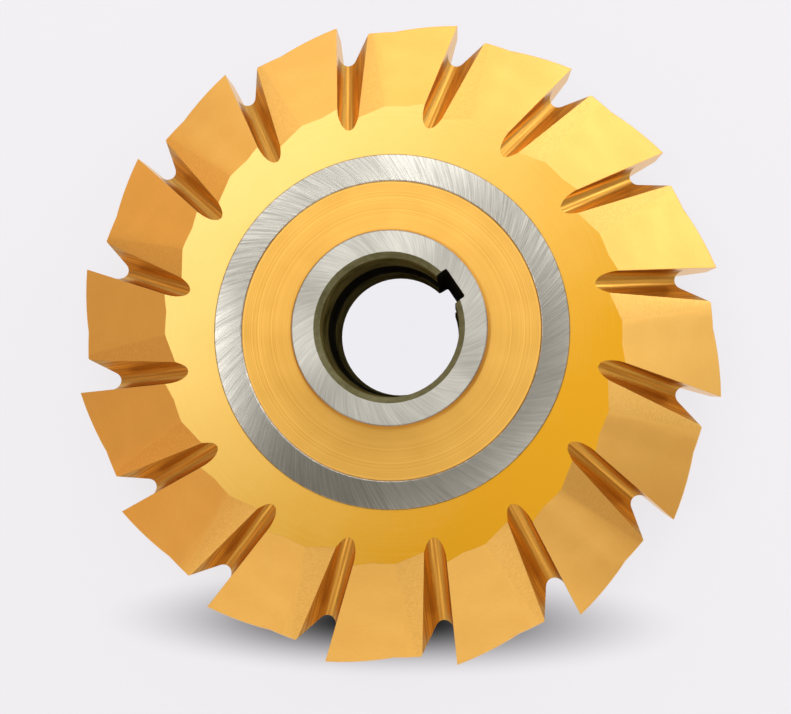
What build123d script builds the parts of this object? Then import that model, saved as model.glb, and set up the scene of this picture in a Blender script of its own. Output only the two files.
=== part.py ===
from build123d import *
import os
from math import cos, radians, sin, sqrt, tan

# Gear milling cutter: one solid disc of high speed steel for cutting worm threads and gear racks.
# Sixteen form relieved teeth stand on the rim. The cutter turns clockwise seen from above (+Z),
# so each tooth has its flat rake face at its clockwise end and falls away behind it.
# The origin is at the bore centre on the lower hub face, +Z runs up the bore, and the keyway
# points along +X, in line with the cutting edge of one tooth. Both sides are alike.

# Driving sizes, in millimetres and degrees
OUTSIDE_DIAMETER = 250.0
TOOTH_COUNT = 16
RAKE_ANGLE = 6.0
PRESSURE_ANGLE = 22.0 + 49.0 / 60.0
CREST_WIDTH = 11.6
CREST_CHAMFER = 0.5

# Relief: how far the profile falls in one pitch, and how far below the edge it stays at the heel
RELIEF_FALL = 8.5
HEEL_CREST_DROP = 4.6
HEEL_FLANK_DROP = 3.6

HUB_LENGTH = 54.0
HUB_DIAMETER = 70.0
HUB_CHAMFER = 0.4
BODY_WIDTH = 44.0
RING_WIDTH = 45.2
RING_INNER_DIAMETER = 108.5
RING_OUTER_DIAMETER = 129.0
RING_CHAMFER = 0.4
WEB_WIDTH = 44.0

# The round at the foot of the hub, turned as a few straight steps
HUB_FOOT_RADIUS = 2.5
HUB_FOOT_STEPS = 3

BORE_DIAMETER = 50.0
BORE_CHAMFER = 2.0
BORE_LAND_LENGTH = 19.0
BORE_RECESS_DIAMETER = 52.0
KEYWAY_WIDTH = 12.0
KEYWAY_ACROSS = 53.5
KEYWAY_FILLET = 0.8

# Straight gash through the whole rim, parallel to the bore
GASH_FLOOR_RADIUS = 108.8
GASH_FILLET = 3.5
GASH_ANGLE = 32.6

# Round bottomed slot that runs down each flank from the straight gash to the body face
SLOT_END_RADIUS = 75.4
SLOT_FILLET = 3.9
SLOT_ANGLE = 44.0
SLOT_SLOPE = 28.0

# Flat milled on the heel of each flank: the angles behind the cutting edge where it starts at the
# foot and at the crest, and the radius and angle where its lower edge ends
HEEL_BASE_ANGLE = 13.1
HEEL_TOP_ANGLE = 15.8
HEEL_FOOT_RADIUS = 80.0
HEEL_FOOT_ANGLE = 19.4

# Worked out from the driving sizes
TIP_RADIUS = OUTSIDE_DIAMETER / 2
PITCH_ANGLE = 360.0 / TOOTH_COUNT
RAKE_OFFSET = TIP_RADIUS * sin(radians(RAKE_ANGLE))
FLANK_RISE = tan(radians(PRESSURE_ANGLE))
FLANK_DEPTH = (BODY_WIDTH - CREST_WIDTH) / 2 / FLANK_RISE
HEEL_CREST_RADIUS = TIP_RADIUS - HEEL_CREST_DROP
HEEL_BASE_RADIUS = TIP_RADIUS - FLANK_DEPTH - HEEL_FLANK_DROP
CORE_RADIUS = (RING_OUTER_DIAMETER / 2 + SLOT_END_RADIUS) / 2
CORE_OVERLAP = 1.0
OVERSIZE = 20.0

# Directions of the rake face of the tooth whose cutting edge lies on +X: outward along the face,
# and square to it, into the tooth
RAKE_OUTWARD = Vector(cos(radians(RAKE_ANGLE)), -sin(radians(RAKE_ANGLE)), 0)
RAKE_INTO_TOOTH = Vector(sin(radians(RAKE_ANGLE)), cos(radians(RAKE_ANGLE)), 0)
AXIS_UP = Vector(0, 0, 1)


def behind(radius, angle, height=0.0):
    """A point at a radius and an angle behind the cutting edge that lies on +X."""
    return Vector(radius * cos(radians(angle)), radius * sin(radians(angle)), height)


def beside_rake(clearance, radius):
    """The point at a radius that stands a clearance in front of the rake face."""
    offset = RAKE_OFFSET - clearance
    return RAKE_INTO_TOOTH * offset + RAKE_OUTWARD * sqrt(radius**2 - offset**2)


def relief_circle():
    """Centre and radius of the circle that follows the crest's spiral where it leaves the edge."""
    fall = RELIEF_FALL / radians(PITCH_ANGLE)
    reach = sqrt(TIP_RADIUS**2 + fall**2)
    radius = reach**3 / (TIP_RADIUS**2 + 2 * fall**2)
    centre = Vector(TIP_RADIUS * (1 - radius / reach), -fall * radius / reach, 0)
    return centre, radius


def core():
    """Hub, web, ground ring and the inner part of the body, turned as one profile."""
    hub = HUB_LENGTH / 2
    web = WEB_WIDTH / 2
    ring = RING_WIDTH / 2
    body = BODY_WIDTH / 2
    bore = BORE_DIAMETER / 2
    hub_wall = HUB_DIAMETER / 2
    ring_bore = RING_INNER_DIAMETER / 2
    ring_rim = RING_OUTER_DIAMETER / 2
    land_end = hub - BORE_LAND_LENGTH
    turns = [radians(90.0 * step / HUB_FOOT_STEPS) for step in range(HUB_FOOT_STEPS + 1)]
    foot_centre = (hub_wall + HUB_FOOT_RADIUS, web + HUB_FOOT_RADIUS)
    foot = [
        (foot_centre[0] - HUB_FOOT_RADIUS * cos(turn), foot_centre[1] - HUB_FOOT_RADIUS * sin(turn))
        for turn in turns
    ]
    profile = Polyline(
        (CORE_RADIUS, 0),
        (BORE_RECESS_DIAMETER / 2, 0),
        (BORE_RECESS_DIAMETER / 2, land_end),
        (bore, land_end),
        (bore, hub - BORE_CHAMFER),
        (bore + BORE_CHAMFER, hub),
        (hub_wall - HUB_CHAMFER, hub),
        (hub_wall, hub - HUB_CHAMFER),
        *foot,
        (ring_bore, web),
        (ring_bore, ring - RING_CHAMFER),
        (ring_bore + RING_CHAMFER, ring),
        (ring_rim - RING_CHAMFER, ring),
        (ring_rim, ring - RING_CHAMFER),
        (ring_rim, body),
        (CORE_RADIUS, body),
        close=True,
    )
    half = revolve(Plane.XZ * make_face(profile), Axis.Z)
    return half + mirror(half, Plane.XY)


def form(crest_radius, base_radius):
    """A ring with the form of the tooth, by the radius of its crest and of its flanks' foot."""
    half_body = BODY_WIDTH / 2
    half_crest = half_body - (crest_radius - base_radius) * FLANK_RISE
    flank = [(0, half_body), (base_radius, half_body), (crest_radius, half_crest)]
    other = [(radius, -height) for radius, height in reversed(flank)]
    face = make_face(Polyline(*flank, *other, close=True))
    corners = face.vertices().group_by(Axis.X)[-1]
    return revolve(Plane.XZ * chamfer(corners, CREST_CHAMFER), Axis.Z)


def tooth():
    """The tooth behind the cutting edge on +X, with its share of the rim, before the gashes."""
    centre, radius = relief_circle()
    relieved = Pos(centre) * form(radius, radius - FLANK_DEPTH)
    heel = form(HEEL_CREST_RADIUS, HEEL_BASE_RADIUS)

    front_inner = beside_rake(GASH_FILLET, CORE_RADIUS - CORE_OVERLAP)
    front_outer = beside_rake(GASH_FILLET, TIP_RADIUS + OVERSIZE)
    share = Polyline(
        front_inner,
        front_outer,
        front_outer.rotate(Axis.Z, PITCH_ANGLE),
        front_inner.rotate(Axis.Z, PITCH_ANGLE),
        close=True,
    )
    wedge = extrude(make_face(share), BODY_WIDTH, both=True)
    solid = (wedge & relieved) + (wedge & heel)
    return solid - heel_cutter() - mirror(heel_cutter(), Plane.XY)


def heel_cutter():
    """A block that lies on the plane of the upper heel flat."""
    base = behind(HEEL_BASE_RADIUS, HEEL_BASE_ANGLE, BODY_WIDTH / 2)
    foot = behind(HEEL_FOOT_RADIUS, HEEL_FOOT_ANGLE, BODY_WIDTH / 2)
    top_height = BODY_WIDTH / 2 - (HEEL_CREST_RADIUS - HEEL_BASE_RADIUS) * FLANK_RISE
    top = behind(HEEL_CREST_RADIUS, HEEL_TOP_ANGLE, top_height)
    along = foot - base
    flat = Plane(origin=base, x_dir=along, z_dir=(top - base).cross(along))
    size = 2 * TIP_RADIUS
    return flat * Box(size, size, BODY_WIDTH, align=(Align.CENTER, Align.CENTER, Align.MIN))


def notch(angle, floor_fillet, height):
    """A V with one upright side and a round bottom, whose round is centred at (-fillet, 0)."""
    bottom = -floor_fillet / tan(radians(angle / 2))
    far = (height - bottom) * tan(radians(angle))
    face = make_face(Polyline((0, bottom), (0, height), (-far, height), close=True))
    return fillet(face.vertices().sort_by(Axis.Y)[0], floor_fillet)


def straight_gash():
    """The chip space in front of the cutting edge on +X, parallel to the bore."""
    middle = beside_rake(GASH_FILLET, GASH_FLOOR_RADIUS + GASH_FILLET)
    origin = middle + RAKE_INTO_TOOTH * GASH_FILLET
    place = Plane(origin=origin, x_dir=RAKE_INTO_TOOTH, z_dir=-AXIS_UP)
    face = notch(GASH_ANGLE, GASH_FILLET, TIP_RADIUS - GASH_FLOOR_RADIUS + OVERSIZE)
    return extrude(place * face, BODY_WIDTH, both=True)


def side_slot():
    """The round bottomed slot that leads from the straight gash down the upper flank."""
    slope = radians(SLOT_SLOPE)
    run = RAKE_OUTWARD * cos(slope) - AXIS_UP * sin(slope)
    lift = RAKE_OUTWARD * sin(slope) + AXIS_UP * cos(slope)
    end = beside_rake(SLOT_FILLET, SLOT_END_RADIUS) + AXIS_UP * (BODY_WIDTH / 2)
    origin = end + RAKE_INTO_TOOTH * SLOT_FILLET + lift * SLOT_FILLET
    start = origin - run * OVERSIZE
    place = Plane(origin=start, x_dir=RAKE_INTO_TOOTH, z_dir=run)
    face = notch(SLOT_ANGLE, SLOT_FILLET, BODY_WIDTH / 2)
    return extrude(place * face, OVERSIZE + TIP_RADIUS)


def keyway():
    """The cut for the driving key, through the whole hub."""
    floor = KEYWAY_ACROSS - BORE_DIAMETER / 2
    block = Box(floor, KEYWAY_WIDTH, HUB_LENGTH, align=(Align.MIN, Align.CENTER, Align.CENTER))
    corners = block.edges().filter_by(Axis.Z).group_by(Axis.X)[-1]
    return fillet(corners, KEYWAY_FILLET)


def cutter():
    """The whole cutter, standing on its lower hub face."""
    blank = tooth()
    space = [straight_gash(), side_slot(), mirror(side_slot(), Plane.XY)]
    turns = [Rot(0, 0, i * PITCH_ANGLE) for i in range(TOOTH_COUNT)]
    solid = core() + [turn * blank for turn in turns]
    solid -= [turn * piece for turn in turns for piece in space]
    solid -= keyway()
    return Pos(0, 0, HUB_LENGTH / 2) * solid


os.makedirs("parts", exist_ok=True)
gear_cutter = cutter()
gear_cutter.label = "gear_cutter"
export_step(gear_cutter, "parts/gear_cutter.step")
print("solids", len(gear_cutter.solids()), "faces", len(gear_cutter.faces()))
print("volume", round(gear_cutter.volume), "box", gear_cutter.bounding_box())
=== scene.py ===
import bpy
from math import atan2, cos, e, pi, radians, sin, sqrt
from mathutils import Vector, Matrix

# Gear milling cutter: a disc of high speed steel with sixteen form relieved teeth. It is coated
# with golden titanium nitride, the hub faces and the rings were ground bare after it, and the bore
# is dark with oxide. Lengths are in metres, and sizes written in millimetres are multiplied by MM.
# The materials' patterns are worked out in millimetres.
MM = 0.001

# Sizes of the solid, as in the part's source. Heights of faces are from the middle of the bore up.
# A tooth's share of the rim starts ahead of its cutting edge, so that it holds the tooth's side slots.
# The heel flats are given by the tilt and turn of their normal, and lie between two turns behind the
# cutting edge
TOOTH_COUNT = 16
PITCH_ANGLE = 2 * pi / TOOTH_COUNT
TIP_RADIUS = 125 * MM
RAKE_ANGLE = radians(6)
RAKE_OFFSET = TIP_RADIUS * sin(RAKE_ANGLE)
FLANK_TILT = radians(22 + 49 / 60)
SLOT_SLOPE = radians(28)
SLOT_SHARE = radians(8.5)
HEEL_TILT = radians(23.14)
HEEL_TURN = radians(34.14)
HEEL_START = radians(12.5)
HEEL_END = radians(20.5)
HUB_LENGTH = 54 * MM
RING_HEIGHT = 22.6 * MM
RING_INNER_RADIUS = 54.25 * MM
RING_MIDDLE = 59.4 * MM

# Borders between faces of different finish, most of them a little off the part's own sizes. The hub's
# edge reaches down from the hub face, and the ring's margin in from its inner radius
HUB_WALL_RADIUS = 34.9 * MM
HUB_EDGE = 0.5 * MM
BORE_MOUTH_RADIUS = 27 * MM
BORE_LAND_RADIUS = 25.5 * MM
RECESS_HEIGHT = 8.1 * MM
KEYWAY_REACH = 29.6 * MM
KEYWAY_HALF_WIDTH = 6.1 * MM
RING_MARGIN = 1 * MM
RIM_START_RADIUS = 74 * MM
CREST_START_RADIUS = 118 * MM

# How level a face lies, by the upright share of its normal: at least these on level faces, at most
# this on upright ones, and the ranges of the bore's chamfers, the rings' broken edges, the crests'
# corners and the flanks
LEVEL = 0.99
EXACTLY_LEVEL = 0.999
UPRIGHT = 0.02
CHAMFER_LEVELS = (0.1, LEVEL)
RING_EDGE_LEVELS = (0.5, 0.9)
CORNER_LEVELS = (0.3, 0.8)
FLANK_LEVELS = (cos(FLANK_TILT) - 0.01, cos(FLANK_TILT) + 0.01)

# The least outward share of the normal on a crest, on its corners and on a flank, and how exactly
# a rake face or a heel flat has to lie on its plane
CREST_OUTWARD = 0.9
CORNER_OUTWARD = 0.5
FLANK_OUTWARD = 0.3
PLANE_ANGLE = radians(0.5)
PLANE_GAP = 0.1 * MM

# Surface detail: the round on every edge and the number of rays that find it, the angle up to which
# faces flow into each other and how close their points lie, and the middle part of a noise that
# a colour spreads over
EDGE_ROUND = 0.25 * MM
EDGE_SAMPLES = 4
CREASE_ANGLE = radians(18)
JOIN_GAP = 0.001 * MM
NOISE_LOW = 0.3
NOISE_MIDDLE = 0.5
NOISE_HIGH = 0.7

# Wheel strokes on the bare steel: how far they lean back from the radius, their length, and for the
# fine and the coarse ones their share of the lean, width and weight. The highlight is combed out
# this part of a full turn off the direction about the bore
STROKE_LEAN = 0.7
STROKE_LENGTH = 14.0
STROKES = ((1.0, 0.45, 1.0), (0.8, 1.8, 0.6))
COMB_TURN = 0.25

# Painted light and shade on the body's coating: the turn in the picture towards which it is painted
# palest, the reach of that change, and how pale it is at the bore, from 0 to 1
PAINTED_LIGHT_TURN = radians(140)
PAINTED_LIGHT_REACH = 97 * MM
PAINTED_LIGHT_MIDDLE = 0.43

# The web's feed lines show in full from the second of these radii out, and inside the first this much
WEB_FINE_RADIUS = 40 * MM
WEB_COARSE_RADIUS = 50 * MM
WEB_FINE_SHARE = 0.3

# Floor: its colour and roughness, how much of its light to the eye is its own even glow, and its
# painted oval shadow: the colour, the turn and distance of its middle from the bore, half its length
# and width, and the share of them that its dark core takes. Beneath the cutter a painted shade darkens
# it by a share up to a radius, and fades out by another radius
FLOOR_COLOUR = "EEEDF2"
FLOOR_ROUGHNESS = 0.9
FLOOR_REACH = 6.0
GLOW_SHARE = 0.82
SHADE_COLOUR = "0C0C0C"
SHADE_TURN = radians(267.7)
SHADE_PLACE = 118.3 * MM
SHADE_LENGTH = 126.6 * MM
SHADE_WIDTH = 23 * MM
SHADE_CORE = 0.09
BENEATH_DEPTH = 0.6
BENEATH_START = 45 * MM
BENEATH_END = 106 * MM

# Light: the strength and colour of the room, how far away the tent's panels stand, their colours, and
# for each height in degrees the panels' size and, by their turn in degrees counter clockwise from
# the picture's right, their strength and colour
ROOM_LIGHT = 0.28
ROOM_COLOUR = "FFF8E4"
TENT_REACH = 1.2
WHITE = "FFFFFF"
CREAM = "FFF0DC"
WARM = "FFC064"
AMBER = "FFB44C"
TENT = (
    ("side", 20, 0.55, (
        (0, 0.45, CREAM), (30, 2.25, WHITE), (60, 2.2, WHITE), (90, 1.9, CREAM), (120, 1.0, CREAM),
        (150, 0.8, WARM), (180, 0.45, AMBER), (210, 0.7, AMBER), (240, 1.0, CREAM), (270, 1.1, CREAM),
        (300, 0.9, CREAM), (330, 0.35, AMBER))),
    ("shoulder", 42, 0.55, (
        (0, 0.95, WHITE), (120, 1.15, WHITE), (240, 0.3, WHITE), (300, 0.65, WHITE))),
    ("roof", 60, 0.35, (
        (0, 0.4, WHITE), (45, 0.8, WHITE), (90, 1.6, WHITE), (135, 0.85, WHITE), (180, 1.95, WHITE))),
    ("crown", 70, 0.25, (
        (0, 0.35, WHITE), (45, 0.32, WHITE), (90, 0.15, WHITE), (270, 0.2, WHITE), (315, 0.95, WHITE))),
    ("top", 79, 0.20, (
        (120, 0.75, WHITE),)),
)

# Camera: the photograph's size and lens in pixels, the pixel that the lens axis passes, the nearest
# and farthest distance it sees, and the bore as it sees it, by the middle of the upper hub face, the
# way the bore leans and the turn of +X in the picture
PICTURE_WIDTH = 791
PICTURE_HEIGHT = 714
LENS_LENGTH = 702.2
LENS_AXIS = (420.1, 315.2)
SENSOR_WIDTH = 36
CLIP_START = 0.01
CLIP_END = 20
HUB_FACE_PLACE = Vector((-11.12, -4.04, -248.84)) * MM
BORE_LEAN = Vector((0.0506, -0.0984, -1))
PART_TURN = radians(33.44)


def linear(code):
    """A colour written as sRGB hex digits, in the linear values that shaders take."""
    parts = [int(code[i:i + 2], 16) / 255 for i in (0, 2, 4)]
    return tuple(p / 12.92 if p <= 0.04045 else ((p + 0.055) / 1.055) ** 2.4 for p in parts) + (1.0,)


def seen_direction(turn, height):
    """A direction by its turn from the picture's right, counter clockwise, and its height."""
    across = turn - PART_TURN
    return Vector((cos(height) * cos(across), cos(height) * sin(across), sin(height)))


def within(value, limits):
    """Whether a value lies between two limits."""
    return limits[0] < value < limits[1]


def add(owner, kind, settings=None, inputs=None):
    """Adds a shader node to a material or the world, with its settings, and with its inputs as values
    or as links from outputs."""
    node = owner.node_tree.nodes.new("ShaderNode" + kind)
    for name, value in (settings or {}).items():
        setattr(node, name, value)
    for name, value in (inputs or {}).items():
        if isinstance(value, bpy.types.NodeSocket):
            owner.node_tree.links.new(value, node.inputs[name])
        else:
            node.inputs[name].default_value = value
    return node


def new_material(name):
    """An empty node material."""
    material = bpy.data.materials.new(name)
    material.use_nodes = True
    material.node_tree.nodes.clear()
    return material


def maths(material, operation, *values):
    """The result of a Math node on numbers or on other nodes' outputs."""
    return add(material, "Math", {"operation": operation}, dict(enumerate(values))).outputs[0]


def vector_maths(material, operation, *values):
    """The result of a Vector Math node on vectors or on other nodes' outputs: a vector, or a plain
    number for a length or a dot product."""
    node = add(material, "VectorMath", {"operation": operation}, dict(enumerate(values)))
    return node.outputs["Value" if operation in ("LENGTH", "DOT_PRODUCT") else "Vector"]


def map_range(material, value, source, target, shape="LINEAR"):
    """Carries a value over from the range of the source to the range of the target."""
    inputs = {
        "Value": value, "From Min": source[0], "From Max": source[1],
        "To Min": target[0], "To Max": target[1]}
    return add(material, "MapRange", {"interpolation_type": shape}, inputs).outputs[0]


def mix_colours(material, share, first, second):
    """A colour between two written as hex digits, by the share of the second."""
    inputs = {"Fac": share, "Color1": linear(first), "Color2": linear(second)}
    return add(material, "MixRGB", inputs=inputs).outputs[0]


def turn_about_bore(material, place, angle):
    """A place turned about the bore's axis."""
    inputs = {"Vector": place, "Angle": angle}
    return add(material, "VectorRotate", {"rotation_type": "Z_AXIS"}, inputs).outputs[0]


def place_on_part(material):
    """The point on the cutter in millimetres."""
    spot = add(material, "TexCoord").outputs["Object"]
    return vector_maths(material, "MULTIPLY", spot, (1 / MM, 1 / MM, 1 / MM))


def across_bore(material, place):
    """A place without its height, so that it points straight out from the bore's axis."""
    return vector_maths(material, "MULTIPLY", place, (1, 1, 0))


def radius_on_part(material, place):
    """The distance of a place from the bore's axis."""
    return vector_maths(material, "LENGTH", across_bore(material, place))


def place_on_tooth(material):
    """The point in millimetres as it lies on the tooth on +X, with its height above the cutter's
    middle, so that all teeth and both sides have the same marks."""
    place = place_on_part(material)
    parts = add(material, "SeparateXYZ", inputs={0: place}).outputs
    turn = maths(material, "ARCTAN2", parts["Y"], parts["X"])
    ahead = maths(material, "ADD", turn, SLOT_SHARE)
    pitches = maths(material, "DIVIDE", ahead, PITCH_ANGLE)
    number = maths(material, "FLOOR", pitches)
    back = maths(material, "MULTIPLY", number, -PITCH_ANGLE)
    parts = add(material, "SeparateXYZ", inputs={0: turn_about_bore(material, place, back)}).outputs
    above = maths(material, "SUBTRACT", parts["Z"], HUB_LENGTH / MM / 2)
    height = maths(material, "ABSOLUTE", above)
    inputs = {"X": parts["X"], "Y": parts["Y"], "Z": height}
    return add(material, "CombineXYZ", inputs=inputs).outputs[0]


def grain(material, place, width, detail=2.0):
    """Noise from 0 to 1 whose grains have the given width in millimetres along each axis."""
    steps = vector_maths(material, "MULTIPLY", place, tuple(1 / w for w in width))
    inputs = {"Vector": steps, "Scale": 1.0, "Detail": detail}
    return add(material, "TexNoise", inputs=inputs).outputs["Fac"]


def rings(material, radius, pitch, detail=2.0):
    """Noise that changes only with the radius, as tool marks about the bore do."""
    inputs = {"W": maths(material, "DIVIDE", radius, pitch), "Scale": 1.0, "Detail": detail}
    return add(material, "TexNoise", {"noise_dimensions": "1D"}, inputs).outputs["Fac"]


def blend(material, parts):
    """Adds patterns by their weights, and keeps the middle of a noise where it is."""
    total = NOISE_MIDDLE * (1 - sum(weight for pattern, weight in parts))
    for pattern, weight in parts:
        total = maths(material, "MULTIPLY_ADD", pattern, weight, total)
    return total


def metal(material, tone, relief, dark, light, gloss, depth, more=None):
    """Ends a metal's nodes. The tone runs from the dark colour to the light one and the relief stands
    up by the depth. The gloss is the roughness at the light end and at the dark one. More adds to the
    shader's inputs or replaces them."""
    spread = map_range(material, tone, (NOISE_LOW, NOISE_HIGH), (0.0, 1.0))
    colour = mix_colours(material, spread, dark, light)
    roughness = map_range(material, spread, (0.0, 1.0), (gloss[1], gloss[0]))
    edges = add(material, "Bevel", {"samples": EDGE_SAMPLES}, {"Radius": EDGE_ROUND}).outputs[0]
    inputs = {"Height": relief, "Distance": depth, "Normal": edges}
    bump = add(material, "Bump", inputs=inputs).outputs[0]
    inputs = {"Base Color": colour, "Metallic": 1.0, "Roughness": roughness, "Normal": bump}
    shader = add(material, "BsdfPrincipled", inputs=inputs | (more or {}))
    add(material, "OutputMaterial", inputs={"Surface": shader.outputs[0]})
    return material


def tin_on_ground_body():
    """Titanium nitride over a ground disc face: matt satin with a faint cloud and hardly any lines.
    Painted light and shade: its gold is paler on one side of the disc and deeper on the other."""
    material = new_material("tin_on_ground_body")
    place = place_on_part(material)
    # Painted light and shade: the gold's tone drifts by place, palest towards one side of the disc
    painted_light_way = seen_direction(PAINTED_LIGHT_TURN, 0) / (2 * PAINTED_LIGHT_REACH / MM)
    along = vector_maths(material, "DOT_PRODUCT", place, painted_light_way)
    painted_light_drift = maths(material, "ADD", along, PAINTED_LIGHT_MIDDLE)
    cloud = grain(material, place, width=(14, 14, 14), detail=3)
    fine = grain(material, place, width=(1.2, 1.2, 1.2))
    lines = rings(material, radius_on_part(material, place), pitch=1.1)
    tone = blend(material, [(painted_light_drift, 0.5), (cloud, 0.06), (fine, 0.03), (lines, 0.04)])
    relief = blend(material, [(fine, 0.5), (lines, 0.5)])
    return metal(material, tone, relief, "D49C24", "E6C97C", gloss=(0.50, 0.56), depth=0.001 * MM)


def tin_on_ground_flank():
    """Titanium nitride over form ground relief: smooth satin gold, softly clouded, with wheel marks
    along the tooth too fine to see one by one."""
    material = new_material("tin_on_ground_flank")
    place = place_on_tooth(material)
    cloud = grain(material, place, width=(9, 14, 9), detail=3)
    fine = grain(material, place, width=(0.8, 2.5, 0.8))
    tone = blend(material, [(cloud, 0.35), (fine, 0.2)])
    return metal(material, tone, fine, "E5B25C", "EDBE68", gloss=(0.38, 0.43), depth=0.0006 * MM)


def tin_on_milled_heel():
    """Titanium nitride over fly cut heel flats: short marks along the tooth that glitter as grains
    where the light is strong."""
    material = new_material("tin_on_milled_heel")
    place = place_on_tooth(material)
    marks = grain(material, place, width=(0.5, 1.8, 0.5), detail=3)
    specks = grain(material, place, width=(0.7, 0.7, 0.7), detail=3)
    pattern = blend(material, [(marks, 0.5), (specks, 0.5)])
    return metal(material, pattern, pattern, "DCAA56", "EBBC6A", gloss=(0.34, 0.42), depth=0.003 * MM)


def tin_in_groove(name, along):
    """Titanium nitride over a milled groove: glossy and deep gold, with long cutter lines down it."""
    material = new_material(name)
    inputs = {"Vector": place_on_tooth(material), "Rotation": along}
    run = add(material, "Mapping", {"vector_type": "TEXTURE"}, inputs).outputs[0]
    lines = grain(material, run, width=(30, 0.8, 0.8))
    broad = grain(material, run, width=(60, 2.6, 2.6), detail=1)
    pattern = blend(material, [(lines, 1.0), (broad, 0.6)])
    return metal(material, pattern, pattern, "B27E34", "E0AA4C", gloss=(0.24, 0.36), depth=0.006 * MM)


def tin_on_turned_web():
    """Titanium nitride over a faced web: fine feed lines about the bore, clearest towards the ring.
    They are drawn about twice as coarse as they are, so that they show."""
    material = new_material("tin_on_turned_web")
    place = place_on_part(material)
    radius = radius_on_part(material, place)
    border = (WEB_FINE_RADIUS / MM, WEB_COARSE_RADIUS / MM)
    clear = map_range(material, radius, border, (WEB_FINE_SHARE, 1.0))
    swing = maths(material, "SUBTRACT", rings(material, radius, pitch=0.6, detail=1), NOISE_MIDDLE)
    feed = maths(material, "MULTIPLY_ADD", swing, clear, NOISE_MIDDLE)
    passes = rings(material, radius, pitch=3.5)
    cloud = grain(material, place, width=(12, 12, 12))
    tone = blend(material, [(feed, 0.9), (passes, 0.1), (cloud, 0.3)])
    relief = blend(material, [(feed, 1.0), (passes, 0.05)])
    return metal(material, tone, relief, "CC9D48", "DCAC56", gloss=(0.48, 0.56), depth=0.0022 * MM)


def tin_on_ground_edge():
    """Titanium nitride over finely ground rake faces, crests and broken edges: the smoothest gold,
    with faint grinding lines level with the disc."""
    material = new_material("tin_on_ground_edge")
    lines = grain(material, place_on_tooth(material), width=(5, 5, 0.4))
    return metal(material, lines, lines, "EEB65A", "FACB78", gloss=(0.26, 0.32), depth=0.001 * MM)


def ground_steel(name, dark, light, gloss, depth, comb):
    """High speed steel ground bare after coating: the wheel's curved strokes lean back from the
    radius, and marks too fine to see comb the highlight out along it."""
    material = new_material(name)
    flat = across_bore(material, place_on_part(material))
    outward = vector_maths(material, "NORMALIZE", flat)
    radius = vector_maths(material, "LENGTH", flat)
    bend = maths(material, "LOGARITHM", radius, e)
    run = maths(material, "DIVIDE", radius, STROKE_LENGTH)
    lift = add(material, "CombineXYZ", inputs={"Z": run}).outputs[0]
    patterns = []
    for lean, width, weight in STROKES:
        back = maths(material, "MULTIPLY", bend, -lean * STROKE_LEAN)
        steps = RING_MIDDLE / MM / width
        stroke = turn_about_bore(material, outward, back)
        stroke = vector_maths(material, "MULTIPLY", stroke, (steps, steps, steps))
        stroke = vector_maths(material, "ADD", stroke, lift)
        patterns.append((grain(material, stroke, width=(1, 1, 1)), weight))
    pattern = blend(material, patterns)
    about_bore = add(material, "Tangent", {"direction_type": "RADIAL", "axis": "Z"}).outputs[0]
    more = {"Tangent": about_bore, "Anisotropic": comb, "Anisotropic Rotation": COMB_TURN}
    return metal(material, pattern, pattern, dark, light, gloss, depth, more)


def oxide_in_bore(name, dark, light, width):
    """High speed steel in the bore, at its mouth and in the keyway, dulled by a dark olive oxide that
    hides the metal. Made nearly black in the recess and the keyway, it is painted shade. The width
    is that of its tool marks or grains."""
    material = new_material(name)
    place = place_on_part(material)
    marks = grain(material, place, width)
    stain = grain(material, place, width=(10, 10, 6))
    pattern = blend(material, [(marks, 0.6), (stain, 0.6)])
    more = {"Metallic": 0.0, "Specular IOR Level": 0.0}
    return metal(
        material, pattern, pattern, dark, light, gloss=(0.35, 0.55), depth=0.004 * MM, more=more)


# The grooves' lines run down the slope of a side slot, and along the bore in a gash
FINISHES = {
    "body": tin_on_ground_body(),
    "flank": tin_on_ground_flank(),
    "heel": tin_on_milled_heel(),
    "slot": tin_in_groove("tin_on_milled_slot", along=(0, SLOT_SLOPE, -RAKE_ANGLE)),
    "gash": tin_in_groove("tin_on_milled_gash", along=(0, pi / 2, 0)),
    "web": tin_on_turned_web(),
    "edge": tin_on_ground_edge(),
    "ring": ground_steel(
        "ground_ring_steel", "908E87", "BAB7B0", gloss=(0.19, 0.25), depth=0.0008 * MM, comb=0.2),
    "hub": ground_steel(
        "ground_hub_steel", "9A9892", "B0AEA7", gloss=(0.30, 0.38), depth=0.0014 * MM, comb=0.9),
    "bore": oxide_in_bore("honed_bore", "322C12", "6E6238", width=(12, 12, 0.8)),
    # The recess and the keyway are coloured nearly black: painted shade for the shadow inside them
    "recess": oxide_in_bore("painted_shade_recess", "14120C", "24211A", width=(1.5, 1.5, 1.5)),
    "chamfer": oxide_in_bore("turned_chamfer", "565238", "706C50", width=(2, 2, 2)),
}


def finish_in_hub(place, radius, height, level):
    """Names the finish of a face inside the hub's wall. The keyway takes the recess's painted shade."""
    if height > HUB_LENGTH / 2 - HUB_EDGE and (radius > BORE_MOUTH_RADIUS or level > LEVEL):
        return "hub"
    if within(level, CHAMFER_LEVELS):
        return "chamfer"
    in_recess = (radius > BORE_LAND_RADIUS or level > LEVEL) and height < RECESS_HEIGHT
    in_keyway = place.x > 0 and abs(place.y) < KEYWAY_HALF_WIDTH and radius < KEYWAY_REACH
    return "recess" if in_recess or in_keyway else "bore"


def finish_in_web(radius, height, level):
    """Names the finish of a face between the hub and the rim."""
    on_ring = level > EXACTLY_LEVEL and abs(height - RING_HEIGHT) < PLANE_GAP
    on_ring_edge = within(level, RING_EDGE_LEVELS) and radius > RING_INNER_RADIUS - RING_MARGIN
    if on_ring or on_ring_edge:
        return "ring"
    return "web" if radius < RING_INNER_RADIUS else "body"


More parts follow.
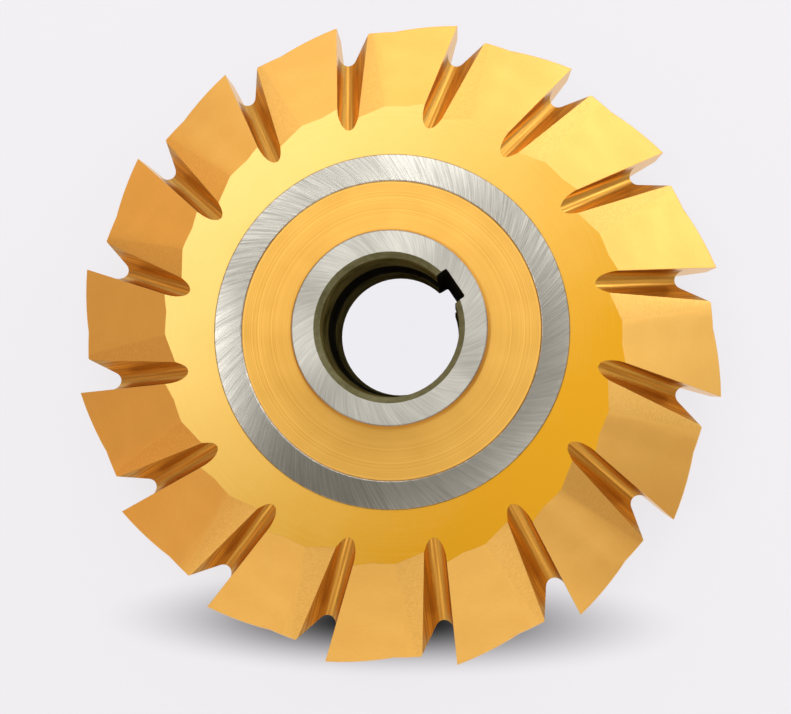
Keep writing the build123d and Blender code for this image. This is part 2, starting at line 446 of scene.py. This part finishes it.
def on_rake_or_heel(place, normal):
    """The finish of a face that lies on a tooth's rake face or on its heel flat, or else nothing."""
    upright = Vector((normal.x, normal.y, abs(normal.z)))
    for tooth in range(TOOTH_COUNT):
        turn = tooth * PITCH_ANGLE
        behind = (atan2(place.y, place.x) - turn) % (2 * pi)
        into = Vector((sin(RAKE_ANGLE - turn), cos(RAKE_ANGLE - turn), 0))
        across = HEEL_TURN + turn
        heel = Vector((sin(HEEL_TILT) * cos(across), sin(HEEL_TILT) * sin(across), cos(HEEL_TILT)))
        if normal.dot(into) < -EXACTLY_LEVEL and abs(place.dot(into) - RAKE_OFFSET) < PLANE_GAP:
            return "edge"
        if HEEL_START < behind < HEEL_END and upright.angle(heel) < PLANE_ANGLE:
            return "heel"
    return None


def finish_on_rim(place, normal, radius, level):
    """Names the finish of a face on the rim."""
    outward = (normal.x * place.x + normal.y * place.y) / radius
    on_crest = level < UPRIGHT and outward > CREST_OUTWARD
    on_corner = within(level, CORNER_LEVELS) and outward > CORNER_OUTWARD
    if level > EXACTLY_LEVEL:
        return "body"
    if on_crest and radius > CREST_START_RADIUS:
        return "edge"
    named = on_rake_or_heel(place, normal)
    if named:
        return named
    if within(level, FLANK_LEVELS) and outward > FLANK_OUTWARD:
        return "flank"
    if on_corner and radius > CREST_START_RADIUS:
        return "edge"
    return "gash" if level < UPRIGHT else "slot"


def finish_of(place, normal):
    """Names the finish of a face of the cutter by its middle and its direction."""
    radius = sqrt(place.x**2 + place.y**2)
    height = abs(place.z - HUB_LENGTH / 2)
    level = abs(normal.z)
    if radius < HUB_WALL_RADIUS:
        return finish_in_hub(place, radius, height, level)
    if radius < RIM_START_RADIUS:
        return finish_in_web(radius, height, level)
    return finish_on_rim(place, normal, radius, level)


def dress(cutter):
    """Gives each face of the cutter the material of its finish."""
    mesh = cutter.data
    mesh.materials.clear()
    for material in FINISHES.values():
        mesh.materials.append(material)
    names = list(FINISHES)
    for face in mesh.polygons:
        face.material_index = names.index(finish_of(face.center, face.normal))


def soften_creases(cutter):
    """Shades the solid's faces as one surface wherever they meet at a small angle, as grinding
    leaves them."""
    group = bpy.data.node_groups.new("soft_creases", "GeometryNodeTree")
    for way in ("INPUT", "OUTPUT"):
        group.interface.new_socket("Geometry", in_out=way, socket_type="NodeSocketGeometry")
    nodes = group.nodes
    join = nodes.new("GeometryNodeMergeByDistance")
    join.inputs["Distance"].default_value = JOIN_GAP
    angle = nodes.new("GeometryNodeInputMeshEdgeAngle")
    sharp = nodes.new("FunctionNodeCompare")
    sharp.inputs["B"].default_value = CREASE_ANGLE
    shade = nodes.new("GeometryNodeSetMeshNormal")
    shade.inputs["Remove Custom"].default_value = True
    group.links.new(nodes.new("NodeGroupInput").outputs[0], join.inputs[0])
    group.links.new(join.outputs[0], shade.inputs["Mesh"])
    group.links.new(angle.outputs["Unsigned Angle"], sharp.inputs["A"])
    group.links.new(sharp.outputs[0], shade.inputs["Edge Sharpness"])
    group.links.new(shade.outputs[0], nodes.new("NodeGroupOutput").inputs[0])
    cutter.modifiers.new("soft_creases", "NODES").node_group = group


def make_camera():
    """The photograph's camera, which looks down on the hub nearly along the bore."""
    down = BORE_LEAN.normalized()
    across = (Vector((1, 0, 0)) - down * down.x).normalized()
    up = across.cross(down)
    part_x = across * cos(PART_TURN) + up * sin(PART_TURN)
    part_y = up * cos(PART_TURN) - across * sin(PART_TURN)
    to_camera = Matrix((part_x, part_y, -down)).transposed()
    origin = HUB_FACE_PLACE + down * HUB_LENGTH
    data = bpy.data.cameras.new("camera")
    data.sensor_width = SENSOR_WIDTH
    data.lens = SENSOR_WIDTH * LENS_LENGTH / PICTURE_WIDTH
    data.shift_x = (PICTURE_WIDTH / 2 - LENS_AXIS[0]) / PICTURE_WIDTH
    data.shift_y = (LENS_AXIS[1] - PICTURE_HEIGHT / 2) / PICTURE_WIDTH
    data.clip_start = CLIP_START
    data.clip_end = CLIP_END
    camera = bpy.data.objects.new("camera", data)
    camera.matrix_world = (Matrix.Translation(origin) @ to_camera.to_4x4()).inverted()
    bpy.context.scene.collection.objects.link(camera)
    bpy.context.scene.camera = camera


def softbox(name, turn, height, size, strength, colour):
    """A square lamp that faces the cutter, placed by its turn in the picture and its height."""
    lamp = bpy.data.lights.new(name, "AREA")
    lamp.shape = "SQUARE"
    lamp.size = size
    lamp.energy = strength
    lamp.color = linear(colour)[:3]
    direction = seen_direction(radians(turn), radians(height))
    thing = bpy.data.objects.new(name, lamp)
    thing.location = direction * TENT_REACH
    thing.rotation_mode = "QUATERNION"
    thing.rotation_quaternion = direction.to_track_quat("Z", "Y")
    bpy.context.scene.collection.objects.link(thing)


def make_tent():
    """The light tent about the cutter: lit panels, each dimmed on its own."""
    for part, height, size, panels in TENT:
        for turn, strength, colour in panels:
            softbox(f"tent_{part}_{turn}", turn, height, size, strength, colour)


def floor_shade(material, spot, far):
    """How dark the floor is, from 0 to 1: the photograph's floor has one soft oval shadow that shows
    below the cutter, and is clean on the other sides. The cutter hides a second one beneath it."""
    # Both shadows are painted into the floor's colour; the lamps don't cast them.
    inputs = {
        "Vector": spot, "Location": seen_direction(SHADE_TURN, 0) * SHADE_PLACE,
        "Rotation": (0, 0, -PART_TURN), "Scale": (SHADE_LENGTH, SHADE_WIDTH, 1)}
    oval = add(material, "Mapping", {"vector_type": "TEXTURE"}, inputs).outputs[0]
    away = vector_maths(material, "LENGTH", oval)
    beside = map_range(material, away, (SHADE_CORE, 1.0), (1.0, 0.0), "SMOOTHSTEP")
    fade = (BENEATH_START, BENEATH_END)
    beneath = map_range(material, far, fade, (BENEATH_DEPTH, 0.0), "SMOOTHSTEP")
    covered = maths(material, "GREATER_THAN", far, KEYWAY_REACH)
    beneath = maths(material, "MULTIPLY", beneath, covered)
    return maths(material, "MAXIMUM", beside, beneath)


def pale_floor():
    """Pale studio paper. Most of what the eye and the metal see of it is its own even glow, and all
    of it under the bore and the keyway."""
    material = new_material("pale_floor")
    spot = add(material, "TexCoord").outputs["Object"]
    far = vector_maths(material, "LENGTH", spot)
    colour = mix_colours(material, floor_shade(material, spot, far), FLOOR_COLOUR, SHADE_COLOUR)
    below = maths(material, "LESS_THAN", far, KEYWAY_REACH)
    share = maths(material, "MAXIMUM", below, GLOW_SHARE)
    rays = add(material, "LightPath").outputs
    seen = maths(material, "MAXIMUM", rays["Is Camera Ray"], rays["Is Glossy Ray"])
    seen = maths(material, "MAXIMUM", seen, rays["Is Transmission Ray"])
    shown = maths(material, "MULTIPLY", share, seen)
    inputs = {"Base Color": colour, "Roughness": FLOOR_ROUGHNESS}
    paper = add(material, "BsdfPrincipled", inputs=inputs).outputs[0]
    glow = add(material, "Emission", inputs={"Color": colour, "Strength": 1.0}).outputs[0]
    both = add(material, "MixShader", inputs={0: shown, 1: paper, 2: glow}).outputs[0]
    add(material, "OutputMaterial", inputs={"Surface": both})
    return material


def make_floor():
    """The studio floor, which isn't part of the object."""
    mesh = bpy.data.meshes.new("floor")
    reach = FLOOR_REACH
    corners = [(-reach, -reach, 0), (reach, -reach, 0), (reach, reach, 0), (-reach, reach, 0)]
    mesh.from_pydata(corners, [], [(0, 1, 2, 3)])
    mesh.materials.append(pale_floor())
    floor = bpy.data.objects.new("floor", mesh)
    bpy.context.scene.collection.objects.link(floor)


def make_world():
    """The room's even pale light."""
    world = bpy.data.worlds.new("room")
    bpy.context.scene.world = world
    world.use_nodes = True
    world.node_tree.nodes.clear()
    glow = add(world, "Background", inputs={"Color": linear(ROOM_COLOUR), "Strength": ROOM_LIGHT})
    add(world, "OutputWorld", inputs={"Surface": glow.outputs[0]})


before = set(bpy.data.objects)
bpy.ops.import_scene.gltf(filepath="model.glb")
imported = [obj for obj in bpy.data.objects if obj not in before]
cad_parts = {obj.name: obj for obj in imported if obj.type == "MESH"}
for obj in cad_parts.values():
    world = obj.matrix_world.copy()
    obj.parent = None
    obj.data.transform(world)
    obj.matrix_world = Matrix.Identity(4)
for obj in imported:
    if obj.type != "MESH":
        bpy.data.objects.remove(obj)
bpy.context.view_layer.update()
bpy.context.scene.view_settings.view_transform = "Standard"

make_camera()
make_floor()
make_world()
dress(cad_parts["gear_cutter"])
soften_creases(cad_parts["gear_cutter"])
make_tent()
